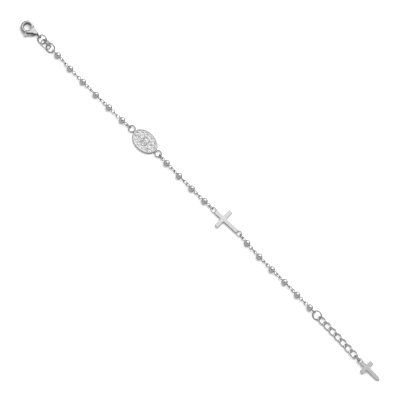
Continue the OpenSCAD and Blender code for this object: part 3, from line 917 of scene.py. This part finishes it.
class BRACELET_OT_chain(Piece, bpy.types.Operator):
    """The eye pins through the beads and the oval links between them"""

    bl_idname = "bracelet.chain"
    bl_label = "Chain"

    def make(self, context, m, at):
        link = oval_ring(m.link, m.opening, m.wire)
        for n, (low, high, _) in enumerate(GROUPS, 1):
            pins = range(low, high + 1)
            parts = [moved(eye_pin(m, at, *EYE_ROLLS[i - 1]), at.beads[i]) for i in pins]
            parts += [moved(copied(link), place) for i, place in at.links if i in pins]
            delivered(joined(*parts), f"pins_and_links_{n}", drawn(), [f"chain_{n}"], smooth=60)
        bpy.data.objects.remove(link)


# Width of the relief's lines, depth of its roots in the field, and the voxel that the medal is cast with.
LINE, ROOT, MEDAL_VOXEL = 0.42, 0.2, 0.058
# The struck ground: height and fineness of its two layers.
GROUND = ((0.032, 2.1), (0.02, 4.3))


class BRACELET_OT_medal(Piece, bpy.types.Operator):
    """The oval medal with its raised rim, cross, linked rings, hearts and stars"""

    bl_idname = "bracelet.medal"
    bl_label = "Medal"

    def make(self, context, m, at):
        a, b, top = m.medal / 2, m.medal_width / 2, m.medal_thickness
        field = top - m.relief
        coin = plate(oval_points(a, b, 128), 0, top, 0.27, 5)
        dish = plate(oval_points(a - 0.6, b - 0.6, 128), field, top + 1)
        cut(coin, dish)
        figures = [
            rounded(plate(cross_outline(-4.1, -1.5, LINE / 2, -3.2, 0.9), field - ROOT, top), 0.12, 2),
            rounded(block((-1.4 - LINE / 2, -1.8, field - ROOT), (-1.4 + LINE / 2, 1.8, top)), 0.12, 2),
        ]
        for side in (-1, 1):
            ring = soldered_ring(2.7, LINE, 56, 12)
            figures.append(moved(ring, Matrix.Translation((0.2, 0.75 * side, field))))
            figures.append(self.heart(0.85, 3.0, 1.15 * side, field, top))
        for k in range(12):
            t = radians(30 * k + 15)
            figures.append(self.star(0.48, 4.85 * cos(t), 3.15 * sin(t), field - ROOT, top - 0.03, t))
        loops = []
        for side in (-1, 1):
            loop = soldered_ring(m.loop, m.loop_wire, 64, 20)
            loops.append(moved(loop, Matrix.Translation((side * at.loop_at, 0, LOOP_Z))))
            neck = block((-0.3, -0.5, -0.2), (0.3, 0.5, 0.2))
            moved(neck, Matrix.Translation((side * (at.loop_at - m.loop / 2), 0, LOOP_Z)))
            loops.append(rounded(neck, 0.08, 2))
        whole = joined(coin, *figures, *loops)
        cast(whole, MEDAL_VOXEL, 3)
        # Gathered first, because each moved vertex makes all normals be worked out anew.
        ground = [
            v for v in whole.data.vertices
            if field - 0.06 < v.co.z < field + 0.05 and abs(v.co.x) < a and v.normal.z > 0.8
        ]
        for v in ground:
            v.co.z += sum(rise * noise.noise(v.co * fineness) for rise, fineness in GROUND)
        moved(whole, at.medal)
        # Painted shade: the medal's sides darken towards the floor, darkest below half the field's height.
        painted_shade_band = (0, 0.5 * field * MM, (field - 0.1) * MM)
        finish = silver("medal_silver", context.scene.bracelet_finish.satin, 0.1, 900.0, 0.25, painted_shade_band)
        delivered(whole, "oval_medal", finish, ["medal"], smooth=80)
        # The soldered rings, beyond the medal's ends, are wire.
        whole.data.materials.append(drawn())
        middle, far = at.medal.translation.x * MM, (a + 0.2) * MM
        for face in whole.data.polygons:
            face.material_index = abs(face.center.x - middle) > far

    def star(self, size, x, y, low, top, way):
        """A five pointed star with eased edges, one point turned the way given."""
        outline = []
        for k in range(10):
            t, reach = way + pi * k / 5, size if k % 2 == 0 else size * 0.48
            outline.append((x + reach * cos(t), y + reach * sin(t)))
        return rounded(plate(outline, low, top), 0.06, 2)

    def heart(self, size, x, y, low, top):
        """A puffed heart: an outline plate whose top is drawn in and raised twice."""
        outline, rim = [], 0.08
        for k in range(40):
            t = 2 * pi * k / 40
            across = 16 * sin(t) ** 3 / 17
            along = (13 * cos(t) - 5 * cos(2 * t) - 2 * cos(3 * t) - cos(4 * t)) / 17
            outline.append((x - along * size * 0.95, y + across * size * 0.95))
        heart = plate(outline, low - ROOT, low + rim)
        for inwards in (0.12, 0.16):
            choose(heart, "FACE", lambda f: f.normal.z > 0.9 and f.center.z > low)
            bpy.ops.mesh.inset(thickness=inwards)
            bpy.ops.transform.translate(value=(0, 0, (top - low - rim) / 2))
            closed()
        return heart


# The hanging cross's foot: distance back from its end, and half width there.
FOOT = ((1.6, 0.86), (1.0, 0.76), (0.5, 0.56), (0.15, 0.34), (0, 0.12))


class BRACELET_OT_crosses(Piece, bpy.types.Operator):
    """The flat cross in the chain and the small hanging cross"""

    bl_idname = "bracelet.crosses"
    bl_label = "Crosses"

    def make(self, context, m, at):
        half = m.cross_thickness / 2
        eye_at = m.cross_span / 2
        end = eye_at - (m.cross_eye - CROSS_EYE_WIRE) / 2
        outline = cross_outline(-end, end, m.cross_width / 2, CROSS_BAR_AT - eye_at, m.cross_bar / 2)
        cross = plate(outline, -half, half, 0.12, 3)
        for side in (-1, 1):
            eye = soldered_ring(m.cross_eye, CROSS_EYE_WIRE, 64, 20)
            merged(cross, moved(eye, Matrix.Translation((side * eye_at, 0, CROSS_EYE_RISE))))
        moved(cross, at.cross)
        delivered(cross, "flat_cross", satin(), ["connector_cross"], flat=True)

        half = m.drop_thickness / 2
        start = (DROP_EYE - DROP_EYE_WIRE) / 2
        outline = cross_outline(start, m.drop, m.drop_width / 2, DROP_BAR_AT, m.drop_bar / 2)
        foot = [(m.drop - back, half_width) for back, half_width in FOOT]
        outline[5:7] = [(x, -y) for x, y in foot] + foot[::-1]
        cross = plate(outline, -half, half, 0.22, 4)
        merged(cross, soldered_ring(DROP_EYE, DROP_EYE_WIRE, 64, 20))
        moved(cross, at.drop_cross)
        delivered(cross, "hanging_cross", satin(), ["drop_cross"], flat=True)


class BRACELET_OT_extension(Piece, bpy.types.Operator):
    """The seven twisted links of the extension"""

    bl_idname = "bracelet.extension"
    bl_label = "Extension"

    def make(self, context, m, at):
        a, b = (m.ext - m.ext_wire) / 2, (m.ext_width - m.ext_wire) / 2
        turns = [2 * pi * k / 72 for k in range(72)]
        path = [(a * cos(t), b * sin(t), TWIST * sin(2 * t)) for t in turns]
        first = wire_along(path, m.ext_wire, True, 4)
        for k in range(EXT_LINKS):
            link = moved(copied(first), at.ext[k])
            delivered(link, f"curb_link_{k + 1}", polished(), [f"ext_link_{k + 1}"], smooth=60)
        bpy.data.objects.remove(first)


# Brightness of the room's parts, and the share of it that is left at the camera's dark front.
WALLS, CEILING, PANEL, LANTERN, FRONT = 0.36, 0.48, 1.3, 0.76, 0.15
# The floor as the metal sees it: a grey painted reflection, with a painted shadow that darkens it near the
# chain's line, with both distances in metres.
FLOOR_GREY, PAINTED_SHADOW_GREY, FLOOR_NEAR, FLOOR_FAR, FLOOR_GLOW = 0.5, 0.12, 0.0012, 0.005, 0.15
# A long lens, as the photo shows no perspective. The rest of the aim is in metres.
CAMERA_LENS, SENSOR, VIEW_WIDTH = 1500, 36, 0.1664
AIM_HEIGHT, AIM_ACROSS, AIM_UP = 0.00135, -0.00121, -0.00059


class BRACELET_OT_stage(bpy.types.Operator):
    """The pale floor, the studio light and the camera"""

    bl_idname = "bracelet.stage"
    bl_label = "Stage"

    def execute(self, context):
        scene = context.scene
        finish = scene.bracelet_finish
        fresh()
        bpy.ops.mesh.primitive_plane_add(size=6, location=(0, 0, -0.00002))
        floor = made()
        floor.name = "floor"
        floor.data.materials.append(self.floor_paint())
        self.room(scene)
        self.lamp("key_light", (-0.05, 0.3, 0.57), size=0.6, power=4.5)
        scene.view_settings.view_transform = "Standard"

        a, e = finish.azimuth, finish.elevation
        back = Vector((sin(a) * cos(e), -cos(a) * cos(e), sin(e)))
        across = Vector((cos(a), sin(a), 0))
        up = back.cross(across)
        focus = Vector((0, 0, AIM_HEIGHT)) + AIM_ACROSS * across + AIM_UP * up
        fresh()
        bpy.ops.object.camera_add()
        camera = made()
        camera.name = "camera"
        camera.data.sensor_width = SENSOR
        camera.data.lens = CAMERA_LENS
        camera.location = focus + back * (VIEW_WIDTH * CAMERA_LENS / SENSOR)
        camera.rotation_mode = "QUATERNION"
        camera.rotation_quaternion = (-back).to_track_quat("-Z", "Y")
        camera.data.clip_start = 0.01
        scene.camera = camera
        return {"FINISHED"}

    def floor_paint(self):
        """White paper, which the metal sees as a grey painted reflection with a painted shadow near the
        chain's line.
        """
        paint = bpy.data.materials.new("floor_paper")
        paint.use_nodes = True
        tree, nodes = paint.node_tree, paint.node_tree.nodes
        shader = nodes["Principled BSDF"]
        for key, value in (
            ("Base Color", (0.95, 0.95, 0.95, 1)), ("Roughness", 0.9), ("Specular IOR Level", 0),
            ("Emission Color", (1, 1, 1, 1)), ("Emission Strength", FLOOR_GLOW),
        ):
            shader.inputs[key].default_value = value
        # For the metal the floor glows as a painted reflection, darkened by a painted shadow along the
        # chain's line.
        painted_reflection = added(nodes, "ShaderNodeEmission", {"Color": (1, 1, 1, 1)})
        place, split = nodes.new("ShaderNodeTexCoord"), nodes.new("ShaderNodeSeparateXYZ")
        path, mix = nodes.new("ShaderNodeLightPath"), nodes.new("ShaderNodeMixShader")
        away = added(nodes, "ShaderNodeMath", operation="ABSOLUTE")
        shade = added(nodes, "ShaderNodeMapRange", {
            "From Min": FLOOR_NEAR, "From Max": FLOOR_FAR, "To Min": PAINTED_SHADOW_GREY, "To Max": FLOOR_GREY,
        })
        wired(
            tree, (place, "Object", split, 0), (split, "Y", away, 0), (away, 0, shade, "Value"),
            (shade, 0, painted_reflection, "Strength"), (path, "Is Glossy Ray", mix, 0), (shader, 0, mix, 1),
            (painted_reflection, 0, mix, 2), (mix, 0, nodes["Material Output"], "Surface"),
        )
        return paint

    def room(self, scene):
        """An even grey room with a soft white panel behind the bracelet, a lantern over it and a dark spot
        where the camera is."""
        world = bpy.data.worlds.new("studio")
        scene.world = world
        world.use_nodes = True
        tree, nodes = world.node_tree, world.node_tree.nodes
        way = nodes.new("ShaderNodeTexCoord")

        def spot(direction, edge, core, low, high):
            """Goes from low at the edge to high at the core, both in degrees off a direction."""
            aim = Vector(direction).normalized()
            dot = added(nodes, "ShaderNodeVectorMath", {1: aim}, operation="DOT_PRODUCT")
            fade = added(nodes, "ShaderNodeMapRange", {
                "From Min": cosd(edge), "From Max": cosd(core), "To Min": low, "To Max": high,
            }, interpolation_type="SMOOTHSTEP")
            wired(tree, (way, "Generated", dot, 0), (dot, "Value", fade, "Value"))
            return fade

        def both(how, a, b):
            result = added(nodes, "ShaderNodeMath", operation=how)
            wired(tree, (a, 0, result, 0), (b, 0, result, 1))
            return result

        walls = spot((0, 0, 1), 92, 50, WALLS, CEILING)
        panel = spot((-0.093, 0.795, 0.612), 36, 14, 0, PANEL)
        lantern = spot((-0.136, 0.134, 0.981), 21, 8, 0, LANTERN)
        front = spot((0.13, -0.24, 0.96), 33, 12, 1, FRONT)
        light = both("MULTIPLY", both("ADD", both("ADD", walls, panel), lantern), front)
        wired(tree, (light, 0, nodes["Background"], "Strength"))
        nodes["Background"].inputs["Color"].default_value = (1, 1, 1, 1)

    def lamp(self, name, place, size, power):
        """A soft square lamp that looks at the origin and that the metal does not reflect."""
        fresh()
        bpy.ops.object.light_add(type="AREA", location=place)
        lamp = made()
        lamp.name = name
        lamp.data.size = size
        lamp.data.energy = power
        lamp.rotation_mode = "QUATERNION"
        lamp.rotation_quaternion = (-Vector(place)).to_track_quat("-Z", "Y")
        lamp.visible_glossy = False


STEPS = (
    BRACELET_OT_clasp, BRACELET_OT_rings, BRACELET_OT_beads, BRACELET_OT_chain,
    BRACELET_OT_medal, BRACELET_OT_crosses, BRACELET_OT_extension, BRACELET_OT_stage,
)


class BRACELET_PT_panel(bpy.types.Panel):
    """Lists the steps and the sizes of the bracelet"""

    bl_idname = "BRACELET_PT_panel"
    bl_label = "Bracelet"
    bl_space_type = "VIEW_3D"
    bl_region_type = "UI"
    bl_category = "Bracelet"

    def draw(self, context):
        for step in STEPS:
            self.layout.operator(step.bl_idname)
        for group, holder in (
            (context.scene.bracelet_sizes, BraceletSizes),
            (context.scene.bracelet_finish, BraceletFinish),
        ):
            column = self.layout.column(align=True)
            for name in holder.__annotations__:
                column.prop(group, name)


CLASSES = (BraceletSizes, BraceletFinish, *STEPS, BRACELET_PT_panel)


def register():
    for cls in CLASSES:
        bpy.utils.register_class(cls)
    bpy.types.Scene.bracelet_sizes = bpy.props.PointerProperty(type=BraceletSizes)
    bpy.types.Scene.bracelet_finish = bpy.props.PointerProperty(type=BraceletFinish)


def unregister():
    del bpy.types.Scene.bracelet_finish
    del bpy.types.Scene.bracelet_sizes
    for cls in reversed(CLASSES):
        bpy.utils.unregister_class(cls)


def main():
    register()
    for step in STEPS:
        group, name = step.bl_idname.split(".")
        getattr(getattr(bpy.ops, group), name)()


if __name__ == "__main__":
    main()
